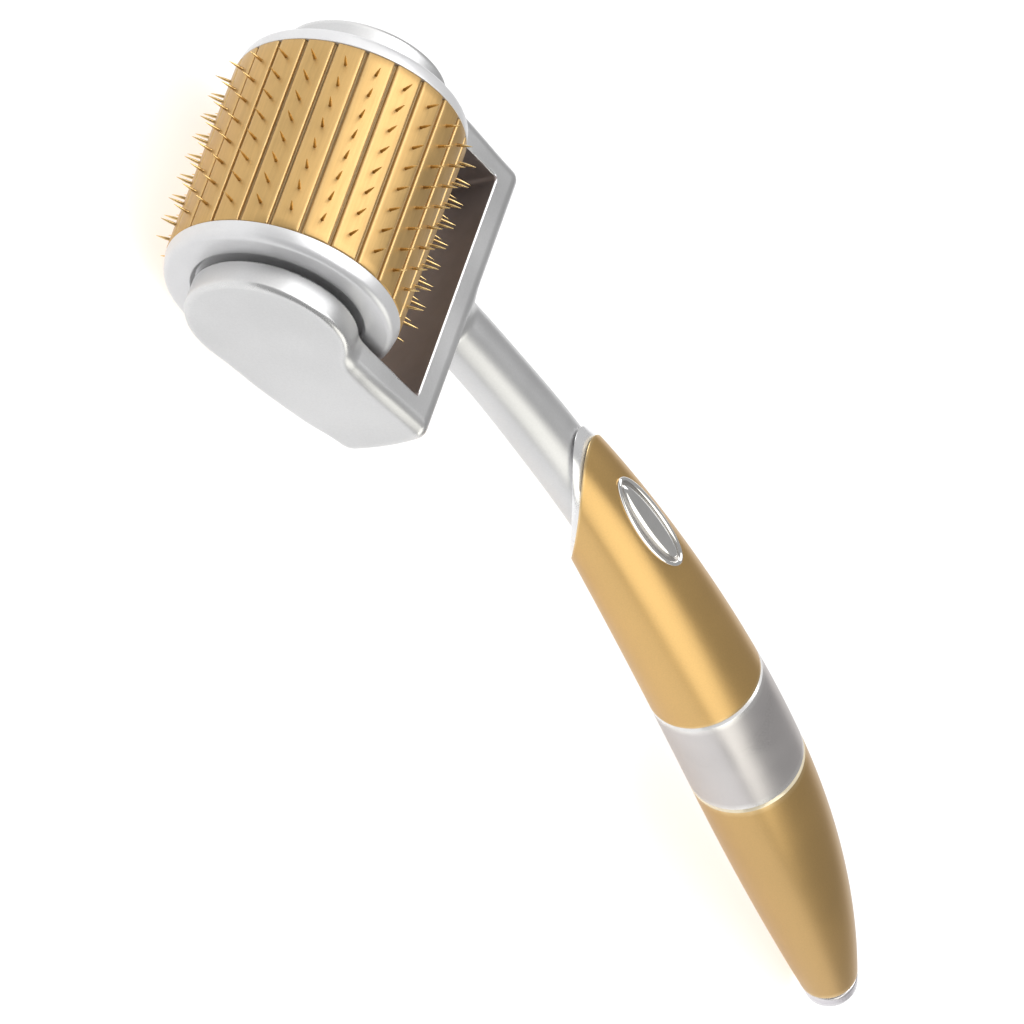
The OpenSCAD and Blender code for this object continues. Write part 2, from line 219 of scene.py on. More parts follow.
def piece(name, points, faces, body, nodes, mats, zones=None, edge=None, normals=None, crease=50):
    """A finished mesh piece from head-frame points. It rides on a CAD body and stands for CAD nodes."""
    mesh = bpy.data.meshes.new(name)
    mesh.from_pydata(to_row(points).tolist(), [], [list(map(int, f)) for f in faces])
    for m in mats:
        mesh.materials.append(m)
    if zones is not None:
        mesh.polygons.foreach_set("material_index", np.asarray(zones, np.int32))
    mesh.polygons.foreach_set("use_smooth", np.ones(len(mesh.polygons), bool))
    attribute = mesh.attributes.new("edge", "FLOAT", "POINT")
    if edge is not None:
        attribute.data.foreach_set("value", np.asarray(edge, np.float32))
    if normals is not None:
        mesh.normals_split_custom_set_from_vertices(turn_to_row(normals).tolist())
    elif crease:
        mesh.set_sharp_from_angle(angle=math.radians(crease))
    obj = bpy.data.objects.new(name, mesh)
    bpy.context.scene.collection.objects.link(obj)
    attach(obj, body)
    if nodes:
        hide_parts(*nodes)
    return obj


# --- Materials ---


class Tree:
    """A small helper that adds nodes to one material."""

    def __init__(self, name):
        self.mat = bpy.data.materials.new(name)
        self.mat.use_nodes = True
        self.nodes, self.links = self.mat.node_tree.nodes, self.mat.node_tree.links
        self.shader = self.nodes["Principled BSDF"]
        self.coord = self.nodes.new("ShaderNodeTexCoord").outputs["Object"]

    def add(self, kind, inputs=None, **settings):
        node = self.nodes.new(kind)
        for key, value in settings.items():
            setattr(node, key, value)
        for key, value in (inputs or {}).items():
            if isinstance(value, bpy.types.NodeSocket):
                self.links.new(value, node.inputs[key])
            else:
                node.inputs[key].default_value = value
        return node

    def noise(self, size, detail=3.0, roughness=0.55, stretch=(1, 1, 1), shift=(0, 0, 0)):
        """Noise from 0 to 1 with features of about size millimetres."""
        place = self.add("ShaderNodeMapping", {"Vector": self.coord, "Scale": stretch,
                                               "Location": shift})
        return self.add("ShaderNodeTexNoise", {"Vector": place.outputs[0], "Scale": 1 / (size * MM),
                                               "Detail": detail, "Roughness": roughness}).outputs[0]

    def span(self, value, low, high, to_low=0.0, to_high=1.0):
        return self.add("ShaderNodeMapRange", {"Value": value, "From Min": low, "From Max": high,
                                               "To Min": to_low, "To Max": to_high}).outputs[0]

    def blend(self, factor, a, b, kind="MIX"):
        node = self.add("ShaderNodeMix", data_type="RGBA", blend_type=kind)
        for socket, value in ((node.inputs[0], factor), (node.inputs[6], a), (node.inputs[7], b)):
            if isinstance(value, bpy.types.NodeSocket):
                self.links.new(value, socket)
            else:
                socket.default_value = value
        return node.outputs[2]

    def maths(self, kind, *values):
        node = self.add("ShaderNodeMath", operation=kind)
        for i, value in enumerate(values):
            if isinstance(value, bpy.types.NodeSocket):
                self.links.new(value, node.inputs[i])
            else:
                node.inputs[i].default_value = value
        return node.outputs[0]

    def bump(self, height, depth):
        """Bump of about depth millimetres."""
        return self.add("ShaderNodeBump", {"Height": height, "Distance": depth * MM, "Strength": 1.0})

    def edge(self):
        return self.add("ShaderNodeAttribute", attribute_name="edge").outputs["Fac"]


def rgb(r, g, b):
    return (r, g, b, 1.0)


def shade(colour, k):
    return tuple(min(1.0, c * k) for c in colour[:3]) + (1.0,)


def satin(name, colour, metallic, rough, broad=14.0, broad_mix=0.10, grain=0.25, grain_mix=0.06,
          grain_bump=0.004, stretch=(1, 1, 1), edge_wear_and_painted_light=None, edge_wear_and_painted_light_mix=0.6, coat=0.0, coat_rough=0.12,
          spread=0.06, rim=None):
    """A painted or anodised finish: broad colour drift, fine grain, roughness breakup, and an edge colour
    that is partly rubbed wear and partly painted light (lighter roundings as highlights, the needles' darker
    roots as shade).
    """
    t = Tree(name)
    big = t.noise(broad, 2.0)
    fine = t.noise(grain, 4.0, 0.6, stretch)
    speck = t.noise(grain * 0.35, 2.0, 0.5, shift=(0.3, 0.1, 0.7))
    base = t.blend(t.span(big, 0.3, 0.7), shade(colour, 1 - broad_mix), shade(colour, 1 + broad_mix * 0.6))
    tone = t.span(fine, 0.3, 0.7, 1 - grain_mix, 1 + grain_mix)
    tint = t.add("ShaderNodeCombineColor", {"Red": tone, "Green": tone, "Blue": tone}).outputs[0]
    base = t.blend(1.0, base, tint, "MULTIPLY")
    edge_breakup = t.span(t.noise(1.6, 4.0, 0.7), 0.35, 0.65)
    # Edge colour: the edge mark, broken up by noise, blends in the edge colour. This is partly rubbed wear
    # and partly painted light: lighter roundings stand for highlights, and the needles' darker roots for
    # shade.
    edge_wear_and_painted_light_mask = t.maths("MULTIPLY", t.edge(), t.maths("MULTIPLY_ADD", edge_breakup, 0.5, 0.5))
    if edge_wear_and_painted_light is not None:
        base = t.blend(t.maths("MULTIPLY", edge_wear_and_painted_light_mask, edge_wear_and_painted_light_mix), base, edge_wear_and_painted_light)
    level = t.maths("ADD", t.span(big, 0.3, 0.7, rough - spread, rough + spread * 0.5),
                    t.span(speck, 0.3, 0.7, -spread * 0.5, spread * 0.5))
    level = t.maths("SUBTRACT", level, t.maths("MULTIPLY", edge_wear_and_painted_light_mask, 0.08))
    t.links.new(base, t.shader.inputs["Base Color"])
    t.links.new(t.maths("MAXIMUM", level, 0.05), t.shader.inputs["Roughness"])
    t.links.new(t.bump(t.maths("ADD", fine, t.maths("MULTIPLY", speck, 0.5)), grain_bump).outputs[0],
                t.shader.inputs["Normal"])
    t.shader.inputs["Metallic"].default_value = metallic
    if rim is not None:
        t.shader.inputs["Specular Tint"].default_value = rim
    if coat:
        t.shader.inputs["Coat Weight"].default_value = coat
        t.shader.inputs["Coat Roughness"].default_value = coat_rough
    return t


def head_finish():
    """The head's silver, with painted shade and a painted reflection on the inner faces of the bridge and
    arms.
    """
    t = satin("head_silver", rgb(0.62, 0.62, 0.622), 0.85, 0.38, edge_wear_and_painted_light=rgb(0.80, 0.795, 0.785), edge_wear_and_painted_light_mix=0.35,
              grain=0.22, grain_mix=0.03, grain_bump=0.002)
    place = t.add("ShaderNodeMapping", {"Vector": t.coord, "Location": tuple(DRUM_CENTRE),
                                        "Rotation": (TILT, 0, 0)}, vector_type="TEXTURE")
    axes = t.add("ShaderNodeSeparateXYZ", {"Vector": place.outputs[0]}).outputs
    side = t.maths("ABSOLUTE", axes[0])
    # Painted shade: inside the bridge and arms the silver turns to a dark, brownish tone. It stands for their
    # shadow and for the gold drum's reflection in them.
    inside = t.maths("MINIMUM", t.maths("LESS_THAN", side, (ARM_IN + 0.05) * MM),
                     t.maths("LESS_THAN", axes[1], (BRIDGE_IN + 0.05) * MM))
    inside = t.maths("MULTIPLY", inside, t.span(axes[1], 6.5 * MM, 8.0 * MM))
    rough = t.shader.inputs["Roughness"].links[0].from_socket
    t.links.new(t.maths("MAXIMUM", rough, t.maths("MULTIPLY", inside, 0.62)), t.shader.inputs["Roughness"])
    old = t.shader.inputs["Base Color"].links[0].from_socket
    painted_shade_tone = t.blend(t.span(t.noise(5.0, 3.0), 0.3, 0.7), rgb(0.25, 0.213, 0.205), rgb(0.31, 0.268, 0.258))
    t.links.new(t.blend(inside, old, painted_shade_tone), t.shader.inputs["Base Color"])
    return t.mat


GOLD = rgb(0.65, 0.41, 0.145)


def sleeve_finish(name, colour):
    """The sleeves' satin gold under a thin coat."""
    return satin(name, colour, 0.85, 0.36, broad=18.0, broad_mix=0.07, grain=0.16, grain_mix=0.05,
                 grain_bump=0.0016, edge_wear_and_painted_light=rgb(0.82, 0.62, 0.33), edge_wear_and_painted_light_mix=0.75, coat=0.55, coat_rough=0.30,
                 rim=rgb(0.62, 0.50, 0.34)).mat


MAT = {
    "head": head_finish(),
    "flange": satin("flange_silver", rgb(0.72, 0.72, 0.73), 0.45, 0.42, grain=0.22, grain_mix=0.02,
                    grain_bump=0.001, edge_wear_and_painted_light=rgb(0.80, 0.80, 0.80), edge_wear_and_painted_light_mix=0.3).mat,
    "slat": satin("slat_gold", rgb(0.55, 0.355, 0.14), 0.8, 0.45, broad=6.0, broad_mix=0.08, grain=0.28,
                  grain_mix=0.07, grain_bump=0.004, stretch=(0.06, 1, 1), edge_wear_and_painted_light=rgb(0.74, 0.54, 0.28),
                  edge_wear_and_painted_light_mix=0.5, spread=0.07).mat,
    # Painted shade: the slats' sides and the groove floors take a darker, less metallic gold than the slat
    # tops.
    "groove": satin("groove_painted_shade_gold", rgb(0.42, 0.29, 0.135), 0.3, 0.55, broad=4.0, grain=0.2, grain_mix=0.12,
                    grain_bump=0.003).mat,
    # The needles' edge colour is dark brown: painted shade at the root, where each needle meets its slat.
    "needle": satin("needle_gold", rgb(0.86, 0.62, 0.28), 1.0, 0.22, broad=3.0, broad_mix=0.12, grain=0.08,
                    grain_mix=0.10, grain_bump=0.001, edge_wear_and_painted_light=rgb(0.28, 0.155, 0.055), edge_wear_and_painted_light_mix=0.9).mat,
    "sleeve": sleeve_finish("sleeve_gold", GOLD),
    # Painted shade: the lower sleeve is the same gold made 0.88 times as bright, for the light that falls off
    # towards the tail.
    "lower_sleeve": sleeve_finish("lower_sleeve_gold_painted_shade", shade(GOLD, 0.88)),
    # Painted highlight: a pale, less metallic gold for the thin rims of the sleeves.
    "sleeve_edge_highlight": satin("sleeve_edge_highlight_gold", rgb(0.96, 0.84, 0.62), 0.3, 0.25, broad=9.0, grain=0.12,
                         grain_bump=0.001).mat,
    "band": satin("band_silver", rgb(0.60, 0.575, 0.57), 0.85, 0.34, broad=8.0, broad_mix=0.07, grain=0.14,
                  grain_mix=0.06, grain_bump=0.0016, stretch=(1, 6, 1), edge_wear_and_painted_light=rgb(0.9, 0.89, 0.87),
                  edge_wear_and_painted_light_mix=0.8, rim=rgb(0.75, 0.72, 0.70)).mat,
    # Painted highlight: a near-white, less metallic silver for the band's upper rim.
    "band_edge_highlight": satin("band_edge_highlight_silver", rgb(0.97, 0.96, 0.95), 0.3, 0.25, broad=9.0, grain=0.12,
                       grain_bump=0.001).mat,
    "collar": satin("collar_silver", rgb(0.84, 0.84, 0.85), 0.7, 0.25, broad=6.0, grain=0.16, grain_mix=0.03,
                    grain_bump=0.001, edge_wear_and_painted_light=rgb(0.95, 0.95, 0.95)).mat,
    "cap": satin("cap_silver", rgb(0.60, 0.57, 0.60), 0.8, 0.32, broad=5.0, grain=0.16, grain_mix=0.05,
                 edge_wear_and_painted_light=rgb(0.86, 0.86, 0.86)).mat,
    "chrome": satin("badge_chrome", rgb(0.86, 0.85, 0.83), 1.0, 0.13, broad=3.0, broad_mix=0.05, grain=0.10,
                    grain_mix=0.04, grain_bump=0.0008, spread=0.04, edge_wear_and_painted_light=rgb(0.97, 0.96, 0.94)).mat,
    "badge_floor": satin("badge_floor_silver", rgb(0.42, 0.40, 0.38), 0.9, 0.42, broad=3.0, grain=0.10,
                         grain_mix=0.10, grain_bump=0.004).mat,
    "steel": satin("axle_steel", rgb(0.56, 0.57, 0.58), 1.0, 0.22, broad=4.0, grain=0.10, stretch=(1, 8, 8),
                   grain_bump=0.001).mat,
    "core": satin("core_plastic", rgb(0.62, 0.58, 0.50), 0.0, 0.50, broad=6.0, grain=0.3,
                  grain_bump=0.004).mat,
    "bush": satin("bush_plastic", rgb(0.80, 0.80, 0.78), 0.0, 0.38, broad=4.0, grain=0.25,
                  grain_bump=0.003).mat,
}


def dress(node, mat):
    """Gives a CAD node that stays in view its finish."""
    obj = frame["nodes"][node]
    obj.data.materials.clear()
    obj.data.materials.append(mat)


# --- Drum ---


def drum_point(x, r, lift):
    """A point of the drum: lift turns from +Z towards +Y, in radians."""
    x, r, lift = np.broadcast_arrays(x, r, lift)
    return np.stack([x, r * np.sin(lift), r * np.cos(lift)], -1)


def slat_outline():
    """A slat's end view as (angle, radius, sideways shift, edge, 1 in the groove) points."""
    base = TAU / SLATS / 2 - BASE_GAP / 2 / DRUM_R
    top = TAU / SLATS / 2 - GROOVE_W / 2 / DRUM_R
    soft = 0.18
    low, ledge = DRUM_R - SLAT_T + 0.05, DRUM_R - GROOVE_DEPTH
    points = [(-base, low, 0.0, 0.0, 1), (-base, ledge, 0.0, 0.0, 1),
              (-top - 0.06 / DRUM_R, ledge, 0.0, 0.0, 1), (-top, ledge + 0.07, 0.0, 0.4, 1)]
    bevel = -top + soft / DRUM_R
    for k in range(5):
        a = math.pi / 2 * k / 4
        points.append((bevel, DRUM_R - soft + soft * math.sin(a), -soft * math.cos(a), 1.0 - 0.15 * k, 0))
    for k in range(1, 6):
        points.append((bevel - bevel * k / 6, DRUM_R, 0.0, 0.0, 0))
    mirrored = [(-a, r, -side, e, g) for a, r, side, e, g in reversed(points)]
    return points + [(0.0, DRUM_R, 0.0, 0.0, 0)] + mirrored


def slat_piece(index):
    lift = math.radians(ROW_PHASE + index * 360 / SLATS)
    outline = slat_outline()
    a, r, side, edge, groove = (np.array(v) for v in zip(*outline))
    stations = [(-DRUM_HALF + 0.01, 0.12), (-DRUM_HALF + 0.04, 0.05), (-DRUM_HALF + 0.13, 0.0)]
    stations += [(x, 0.0) for x in np.linspace(-DRUM_HALF + 1, DRUM_HALF - 1, 9)]
    stations += [(DRUM_HALF - 0.13, 0.0), (DRUM_HALF - 0.04, 0.05), (DRUM_HALF - 0.01, 0.12)]
    rings = []
    for x, drop in stations:
        rr = np.where(r > DRUM_R - GROOVE_DEPTH / 2, r - drop, r)
        y = rr * np.sin(a + lift) + side * np.cos(a + lift)
        z = rr * np.cos(a + lift) - side * np.sin(a + lift)
        rings.append(np.stack([np.full_like(y, x), y, z], -1))
    rings = np.array(rings)
    n, m = rings.shape[:2]
    points = rings.reshape(-1, 3)
    faces = torus_faces(n, m, wrap=False)
    ends = [list(range(m)), list(range((n - 1) * m, n * m))[::-1]]
    in_groove = [1 if groove[k] and groove[(k + 1) % m] or k == m - 1 else 0 for k in range(m)]
    zones = in_groove * (n - 1) + [0, 0]
    return piece(f"slat_plate_{index + 1:02d}", points, outward_with_ends(points, faces, ends), "drum",
                 [f"slat_{index + 1:02d}"], [MAT["slat"], MAT["groove"]], zones=zones,
                 edge=np.tile(edge, n), crease=60)


def outward_with_ends(points, quads, ends):
    """Quads and end polygons of an open loft, all facing outwards."""
    tri = list(quads[:, [0, 1, 2]]) + list(quads[:, [0, 2, 3]])
    for e in ends:
        tri += [[e[0], e[i], e[i + 1]] for i in range(1, len(e) - 1)]
    tri = np.array(tri)
    p = points - points.mean(0)
    volume = np.einsum("ij,ij->i", p[tri[:, 0]], np.cross(p[tri[:, 1]], p[tri[:, 2]])).sum()
    faces = [list(f) for f in quads] + [list(e) for e in ends]
    return faces if volume > 0 else [f[::-1] for f in faces]


def needle_points():
    """All needles as one mesh: a small flare at the root, a straight shank and a long ground point."""
    # The third value of each ring darkens the finish towards the root: painted shade.
    profile = [(-0.05, 0.18, 1.0), (0.03, 0.165, 1.0), (0.12, 0.15, 0.95), (0.30, NEEDLE_R, 0.85),
               (0.55, NEEDLE_R * 0.97, 0.6), (0.80, 0.112, 0.25), (1.10, 0.076, 0.0), (1.34, 0.042, 0.0),
               (1.46, 0.018, 0.0), (NEEDLE_OUT, 0.004, 0.0)]
    sides = 12
    a = np.arange(sides) * TAU / sides
    points, faces, edge = [], [], []
    for i in range(SLATS):
        lift = math.radians(ROW_PHASE + i * 360 / SLATS)
        out = np.array([0, math.sin(lift), math.cos(lift)])
        along = np.array([1.0, 0, 0])
        across = np.cross(out, along)
        for j in range(NEEDLES):
            lean = rng.normal(0, 0.012, 2)
            axis = out + along * lean[0] + across * lean[1]
            axis /= np.linalg.norm(axis)
            e1 = np.cross(axis, across)
            e1 /= np.linalg.norm(e1)
            e2 = np.cross(axis, e1)
            foot = out * DRUM_R + along * (j - (NEEDLES - 1) / 2) * PITCH
            start = sum(len(p) for p in points)
            rings = np.array([foot + axis * h + r * (np.cos(a)[:, None] * e1 + np.sin(a)[:, None] * e2)
                              for h, r, _ in profile])
            points.append(rings.reshape(-1, 3))
            quads = torus_faces(len(profile), sides, wrap=False)
            ends = [list(range(sides)), list(range((len(profile) - 1) * sides, len(profile) * sides))[::-1]]
            for f in outward_with_ends(points[-1], quads, ends):
                faces.append([v + start for v in f])
            edge.append(np.repeat([e for _, _, e in profile], sides))
    return np.concatenate(points), faces, np.concatenate(edge)


def lathe_x(name, corners, side, body, nodes, mats, sides=160, longest=2.5):
    """A closed profile of (x, r, radius) corners turned round the axle."""
    outline, edge = rounded(corners)
    outline, edge = divided(outline, edge, longest)
    a = np.arange(sides) * TAU / sides
    rings = drum_point(side * outline[:, 0][:, None], outline[:, 1][:, None], a[None, :])
    faces = torus_faces(len(outline), sides)
    points = rings.reshape(-1, 3)
    return piece(name, points, outward(points, faces), body, nodes, mats,
                 edge=np.repeat(edge, sides), crease=60)


def build_drum():
    for i in range(SLATS):
        slat_piece(i)
    points, faces, edge = needle_points()
    piece("needle_rows", points, faces, "drum", ["needles"], [MAT["needle"]],
          edge=edge, crease=70)
    x0, x1 = DRUM_HALF, DRUM_HALF + FLANGE_T
    lip, face = DRUM_R - FLANGE_CONE, x1 - FLANGE_DISH
    flange = [(x0 + 0.02, FLANGE_BORE, 0.1), (x0 + 0.02, DRUM_R - 0.02, 0.08), (x1, lip, 0.7),
              (x1, DISH_R, 0.2), (face, DISH_R - DISH_RUN, 0.1), (face, BOSS_R + DISH_RUN, 0.2),
              (x1, BOSS_R, 0.1), (x1, FLANGE_BORE, 0.1)]
    for side, word in ((1, "near"), (-1, "far")):
        lathe_x(f"flange_{word}", flange, side, "drum", [f"drum_flange_{word}"],
                [MAT["flange"]])
        dress(f"bush_{word}", MAT["bush"])
    dress("drum_core", MAT["core"])


# --- Head: one smooth moulding, drawn as a distance function and meshed ---


def round_union(a, b, r):
    return np.maximum(r, np.minimum(a, b)) - np.hypot(np.maximum(r - a, 0), np.maximum(r - b, 0))


def round_cut(a, b, r):
    """The intersection of two shapes with a rounding of radius r along their common edge."""
    return np.minimum(-r, np.maximum(a, b)) + np.hypot(np.maximum(r + a, 0), np.maximum(r + b, 0))


def ramp(v, low, high):
    t = np.clip((v - low) / (high - low), 0, 1)
    return t * t * (3 - 2 * t)


HEAD_LOW, HEAD_HIGH = (-15.9, -8.2, -9.6), (15.9, 57.2, 8.2)  # the space that holds the head and neck
HEAD_STEP = 0.24
BACK_R = 25.0
BACK_Y = BRIDGE_OUT + 0.05 - BACK_R
SILL_Y = BRIDGE_OUT - 1.0
SILL_TURN = math.atan2(-SILL_Z, SILL_Y) - math.acos(EAR_R / math.hypot(SILL_Y, SILL_Z))
HEEL_Y = EAR_R * math.cos(SILL_TURN)
HOLLOW_R = 3.0
HOLLOW_Z = RIM_Z + RIM_RISE + HOLLOW_R
HOLLOW_Y = math.sqrt((EAR_R + HOLLOW_R) ** 2 - HOLLOW_Z ** 2)
RIM_SLOPE = RIM_RISE / (BRIDGE_OUT - 0.5 - HOLLOW_Y)


def side_outline(y, z):
    """Signed distance to the side view of an ear and its arm, with the hollow curve between them."""
    ear = np.hypot(y, z) - EAR_R
    under = np.maximum(y * math.cos(SILL_TURN) + z * math.sin(SILL_TURN) - EAR_R, HEEL_Y - y)
    hy, hz = y - HOLLOW_Y, z - HOLLOW_Z
    hollow = (hy <= 0) & (hz * HOLLOW_Y <= hy * HOLLOW_Z)
    curved = np.maximum(HOLLOW_R - np.hypot(hy, hz), np.minimum(ear, under))
    over = z - RIM_Z - RIM_SLOPE * (BRIDGE_OUT - 0.5 - y)
    return np.where(hollow, curved, np.minimum(ear, np.maximum(over, under)))


def head_body(p):
    """Signed distance to the head's outer shape, without its neck and its cavity."""
    x, y, z = p[..., 0], p[..., 1], p[..., 2]
    back = np.hypot(y - BACK_Y, z) - BACK_R
    swell = ARM_SWELL * ramp(y, 2.0, 7.2) * (1 - ramp(y, 7.8, 17.2)) * (0.45 + 0.55 * ramp(z, -6, 4))
    wall = round_cut(np.abs(x) - ARM_OUT - swell, back, CORNER_R)
    top = ramp(z, -2, 2)
    soft = 0.55 + top * 0.9 * ramp(y, 2, 8) + (1 - top) * 0.6 * ramp(y, 12.0, 16.5)
    return round_cut(side_outline(y, z), wall, soft)


def neck_shape(p):
    x, y, z = p[..., 0], p[..., 1], p[..., 2]
    cy = PATH_Y - BEND_NECK * math.sin(DROOP_0)
    cz = PATH_Z - BEND_NECK * math.cos(DROOP_0)
    s = BEND_NECK * (np.arctan2(y - cy, z - cz) - DROOP_0)
    radius = NECK_R + NECK_SPREAD * ramp(s, 8, 22)
    rod = np.hypot(x, np.hypot(y - cy, z - cz) - BEND_NECK) - radius
    return np.maximum(rod, np.maximum(-NECK_ROOT - s, s - NECK_END - NECK_LAP))


def head_shape(p):
    x, y, z = p[..., 0], p[..., 1], p[..., 2]
    cavity = round_cut(np.abs(x) - ARM_IN, y - BRIDGE_IN, 0.5)
    body = round_union(head_body(p), neck_shape(p), 1.0 + 0.6 * ramp(z, 0, 3))
    return round_cut(body, -cavity, 0.16)


def slope(shape, p, h=0.02):
    """The gradient of a distance function."""
    g = np.empty_like(p)
    for i in range(3):
        d = np.zeros(3)
        d[i] = h
        g[..., i] = (shape(p + d) - shape(p - d)) / (2 * h)
    return g


def surface_nets(shape, low, high, step):
    """A quad mesh of a distance function's zero surface, with every vertex pulled onto the surface."""
    axes = [np.arange(a, b + step, step) for a, b in zip(low, high)]
    f = np.empty([len(a) for a in axes], np.float32)
    for i, x in enumerate(axes[0]):
        y, z = np.meshgrid(axes[1], axes[2], indexing="ij")
        f[i] = shape(np.stack([np.full_like(y, x), y, z], -1))
    inside = f < 0
    nx, ny, nz = (n - 1 for n in f.shape)
    corner = [(i, j, k) for i in (0, 1) for j in (0, 1) for k in (0, 1)]
    count = sum(inside[i:i + nx, j:j + ny, k:k + nz].astype(np.int8) for i, j, k in corner)
    cells = np.argwhere((count > 0) & (count < 8))
    number = np.full((nx, ny, nz), -1, np.int64)
    number[tuple(cells.T)] = np.arange(len(cells))
    total = np.zeros((len(cells), 3))
    hits = np.zeros(len(cells))
    for a in corner:
        for axis in range(3):
            if a[axis]:
                continue
            b = list(a)
            b[axis] = 1
            fa, fb = f[tuple((cells + a).T)].astype(float), f[tuple((cells + b).T)].astype(float)
            cross = (fa < 0) != (fb < 0)
            t = np.where(cross, fa / np.where(cross, fa - fb, 1), 0)
            point = np.array(a, float) + np.zeros((len(cells), 3))
            point[:, axis] += t
            total += point * cross[:, None]
            hits += cross
    points = np.array(low) + (cells + total / hits[:, None]) * step
    quads = []
    for axis in range(3):
        u, v = (axis + 1) % 3, (axis + 2) % 3
        a = [slice(None)] * 3
        b = [slice(None)] * 3
        a[axis], b[axis] = slice(0, -1), slice(1, None)
        change = inside[tuple(a)] != inside[tuple(b)]
        at = np.argwhere(change)
        at = at[(at[:, u] > 0) & (at[:, v] > 0) & (at[:, u] < f.shape[u] - 1) & (at[:, v] < f.shape[v] - 1)]
        du, dv = np.zeros(3, int), np.zeros(3, int)
        du[u], dv[v] = 1, 1
        ring = [number[tuple((at - o).T)] for o in (du + dv, dv, 0 * du, du)]
        ring = np.stack(ring, -1)
        starts_inside = inside[tuple(at.T)]
        quads.append(np.where(starts_inside[:, None], ring, ring[:, ::-1]))
    for _ in range(5):
        g = slope(shape, points)
        points = points - shape(points)[:, None] * g / np.maximum((g * g).sum(-1), 0.2)[:, None]
    return points, np.concatenate(quads)


def build_head():
    points, quads = surface_nets(head_shape, HEAD_LOW, HEAD_HIGH, HEAD_STEP)
    normals = slope(head_shape, points)
    normals /= np.linalg.norm(normals, axis=-1, keepdims=True)
    h = 0.3
    bend = sum(head_shape(points + h * e) + head_shape(points - h * e) for e in np.eye(3)) / (h * h)
    # The edge mark follows convex roundings. The finish lightens them, partly as rubbed wear and partly as a
    # painted highlight.
    edge = np.clip((bend - 0.45) / 0.9, 0, 1)
    piece("head_shell", points, quads, "handle", ["head_frame"], [MAT["head"]],
          edge=edge, normals=normals)
    dress("axle", MAT["steel"])


# --- Handle: tubes whose outside follows the grip ---


def path_tube(name, corners, nodes, mats, slant=lambda s: 0.0 * s, sides=128, longest=0.9, zone=None,
              shape=None):
    """A closed profile of (s, height above the grip surface, radius) corners swept round the centre line."""
    outline, edge = rounded(corners)
    outline, edge = divided(outline, edge, longest)
    a = np.arange(sides) * TAU / sides
    s, h = outline[:, 0][:, None], outline[:, 1][:, None]
    u = s - (grip_at(s) + h) * np.cos(a)[None, :] * slant(s)
    r = grip_at(u) + h
    if shape is not None:
        r = r + shape(u, a[None, :], h)
    points = off_path(u, r, np.broadcast_to(a[None, :], u.shape)).reshape(-1, 3)
    zones = None
    if zone is not None:
        zones = np.repeat([zone(*((outline[i] + outline[(i + 1) % len(outline)]) / 2))
                           for i in range(len(outline))], sides)
    faces = torus_faces(len(outline), sides)
    return piece(name, points, outward(points, faces), "handle", nodes, mats, zones=zones,
                 edge=np.repeat(edge, sides), crease=60)


def badge_inset(u, a, h):
    """The pocket under the badge: the sleeve's skin sinks inside the oval."""
    across = np.where(a > math.pi, a - TAU, a) * grip_at(BADGE_S)
    rho = np.hypot(across / (BADGE_W / 2 - 0.25), (u - BADGE_S) / (BADGE_LEN / 2 - 0.25))
    return np.where(h > -0.5, -0.6 * (1 - ramp(rho, 0.90, 1.0)), 0.0)


def build_handle():
    run = BAND_S0 - CUT_S

    def cut(s):
        return CUT_SLANT * np.clip(1 - (s - CUT_S) / run, 0, 1)

    # Zone 1 is the front rim of the cut, in the pale edge gold: a painted highlight.
    def upper_zone(s, h):
        return 1 if h > -0.3 and (s < CUT_S + 0.10) else 0

    path_tube("upper_sleeve_skin", [(CUT_S, -SLEEVE_WALL, 0.1), (CUT_S, 0, 0.22),
                                    (BAND_S0 - 0.03, 0, 0.10), (BAND_S0 - 0.03, -SKIN_DEPTH, 0.1)],
              ["upper_sleeve"], [MAT["sleeve"], MAT["sleeve_edge_highlight"]], slant=cut, longest=0.35,
              zone=upper_zone, shape=badge_inset, sides=160)
    length = (COLLAR_LEN + COLLAR_HEEL) / 2
    extra = (COLLAR_LEN - COLLAR_HEEL) / 2 / float(grip_at(CUT_S))

    def collar_cut(s):
        return CUT_SLANT + extra * (CUT_S - s) / length

    path_tube("collar_trim", [(CUT_S - length, 0.05 - SLEEVE_WALL, 0.05),
                              (CUT_S - length, -COLLAR_STEP, 0.06), (CUT_S, -COLLAR_STEP, 0.0),
                              (CUT_S, 0.05 - SLEEVE_WALL, 0.0)],
              ["collar_ring"], [MAT["collar"]], slant=collar_cut, sides=160)

    # Zone 1 is the band's upper rounded edge, in near-white: a painted highlight.
    def band_zone(s, h):
        return 1 if h > -0.5 and (s < BAND_S0 + 0.42) else 0

    path_tube("band_ring", [(BAND_S0, -SKIN_DEPTH, 0), (BAND_S0, -0.16, 0.05),
                            (BAND_S0 + 0.36, 0.02, 0.12), (BAND_S1 - 0.10, 0.0, 0.08),
                            (BAND_S1, -0.12, 0.05), (BAND_S1, -SKIN_DEPTH, 0)],
              ["grip_band"], [MAT["band"], MAT["band_edge_highlight"]], zone=band_zone)

    # Zone 1 is each rounded end of the lower sleeve, in the pale edge gold: a painted highlight.
    def lower_zone(s, h):
        return 1 if h > -0.5 and (s < BAND_S1 + 0.50 or s > CAP_S - 0.42) else 0

    path_tube("lower_sleeve_skin", [(BAND_S1 + 0.02, -SKIN_DEPTH, 0), (BAND_S1 + 0.02, -0.16, 0.05),
                                    (BAND_S1 + 0.42, 0.0, 0.15), (CAP_S - 0.40, 0.0, 0.12),
                                    (CAP_S - 0.02, -0.15, 0.05), (CAP_S - 0.02, -1.0, 0)],
              ["lower_sleeve"], [MAT["lower_sleeve"], MAT["sleeve_edge_highlight"]], zone=lower_zone)
    build_cap()
    dress("handle_core", MAT["core"])


